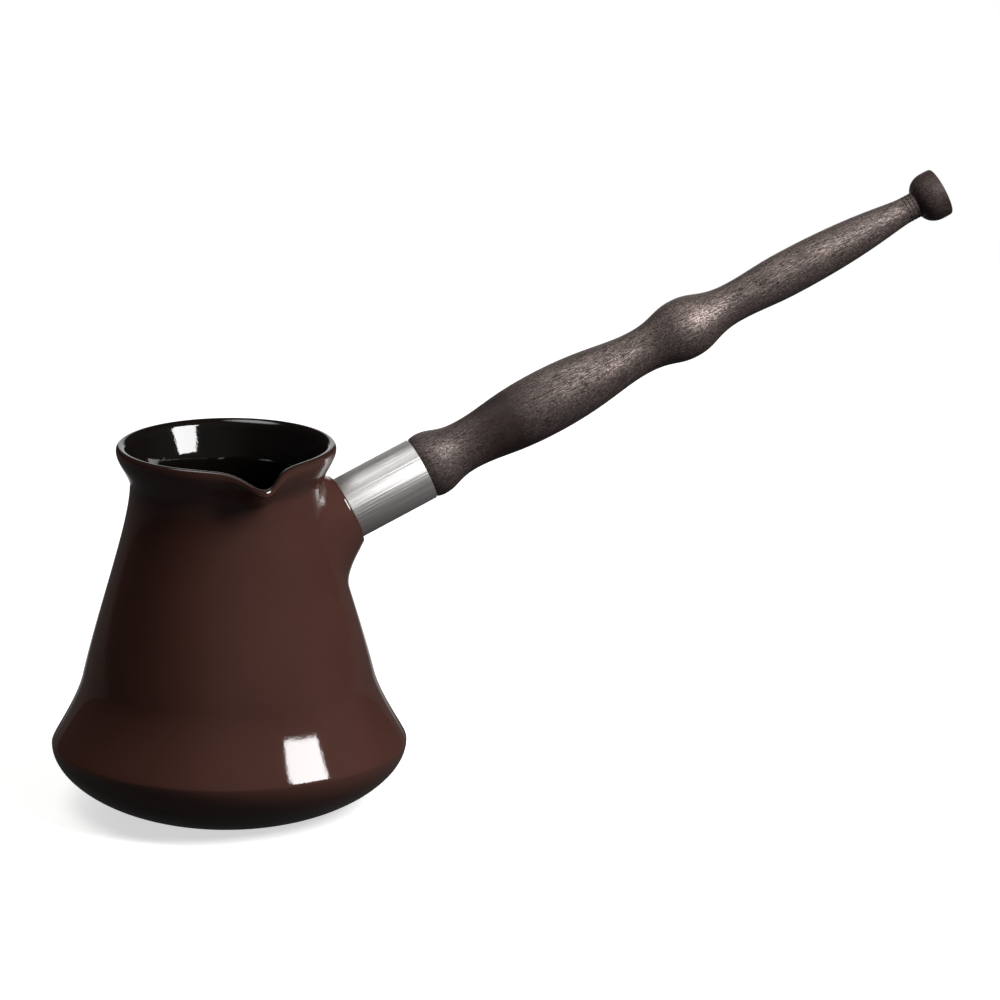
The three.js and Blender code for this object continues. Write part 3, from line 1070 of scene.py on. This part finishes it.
world = bpy.data.worlds.new("studio")
bpy.context.scene.world = world
world.use_nodes = True
tree = world.node_tree
tree.nodes.clear()
output = add_node(tree, "ShaderNodeOutputWorld")
ray = add_node(tree, "ShaderNodeLightPath")
sky_direction = add_node(tree, "ShaderNodeTexCoord").outputs["Generated"]


def panel(direction, half_angle, strength):
    """A round pale panel in the world, brightest in its middle and fading to nothing at its edge."""
    towards = add_node(tree, "ShaderNodeVectorMath", {
        0: sky_direction, 1: direction,
    }, operation="DOT_PRODUCT")
    return add_node(tree, "ShaderNodeMapRange", {
        "Value": towards.outputs["Value"], "From Min": math.cos(half_angle),
        "From Max": math.cos(half_angle / 3), "To Max": strength,
    }, interpolation_type="SMOOTHSTEP").outputs["Result"]


overhead = panel(direction_of(overhead_azimuth, overhead_elevation), overhead_half_angle, overhead_strength)
front = panel(direction_of(front_azimuth, front_elevation), front_half_angle, front_strength)

# The backdrop stands behind the pot, from below the edge of the floor up to its top, and is no wider than it
# needs to be to fill the view
aside = add_node(tree, "ShaderNodeVectorMath", {
    0: sky_direction, 1: beside_pot_direction,
}, operation="DOT_PRODUCT")
aside_size = add_node(tree, "ShaderNodeMath", {0: aside.outputs["Value"]}, operation="ABSOLUTE")
in_width = add_node(tree, "ShaderNodeMapRange", {
    "Value": aside_size.outputs[0], "From Min": math.sin(backdrop_half_width),
    "From Max": math.sin(backdrop_half_width / 2),
}, interpolation_type="SMOOTHSTEP")
forward = add_node(tree, "ShaderNodeVectorMath", {
    0: sky_direction, 1: behind_pot_direction,
}, operation="DOT_PRODUCT")
in_height = add_node(tree, "ShaderNodeMapRange", {
    "Value": forward.outputs["Value"], "From Min": math.cos(backdrop_top),
    "From Max": math.cos(backdrop_top / 2),
}, interpolation_type="SMOOTHSTEP")
backdrop = add_node(tree, "ShaderNodeMath", {
    0: in_width.outputs["Result"], 1: in_height.outputs["Result"],
}, operation="MULTIPLY").outputs[0]
panels = add_node(tree, "ShaderNodeMath", {0: front, 1: overhead}, operation="ADD")
room = add_node(tree, "ShaderNodeMath", {0: panels.outputs[0], 1: room_strength}, operation="ADD")
mirrored = add_node(tree, "ShaderNodeMath", {
    0: ray.outputs["Is Glossy Ray"], 1: ray.outputs["Is Transmission Ray"],
}, operation="ADD")
mirrored_behind = add_node(tree, "ShaderNodeMath", {
    0: mirrored.outputs[0], 1: backdrop,
}, operation="MULTIPLY")
seen = add_node(tree, "ShaderNodeMath", {
    0: ray.outputs["Is Camera Ray"], 1: mirrored_behind.outputs[0],
}, operation="ADD", use_clamp=True)
dark_room = add_node(tree, "ShaderNodeBackground", {
    "Color": linear("#ffffff"), "Strength": room.outputs[0],
})
white = add_node(tree, "ShaderNodeBackground", {"Color": linear("#ffffff"), "Strength": 1})
studio = add_node(tree, "ShaderNodeMixShader", {
    0: seen.outputs[0], 1: dark_room.outputs[0], 2: white.outputs[0],
})
tree.links.new(studio.outputs[0], output.inputs["Surface"])

# Colours show as they are written
bpy.context.scene.view_settings.view_transform = "Standard"
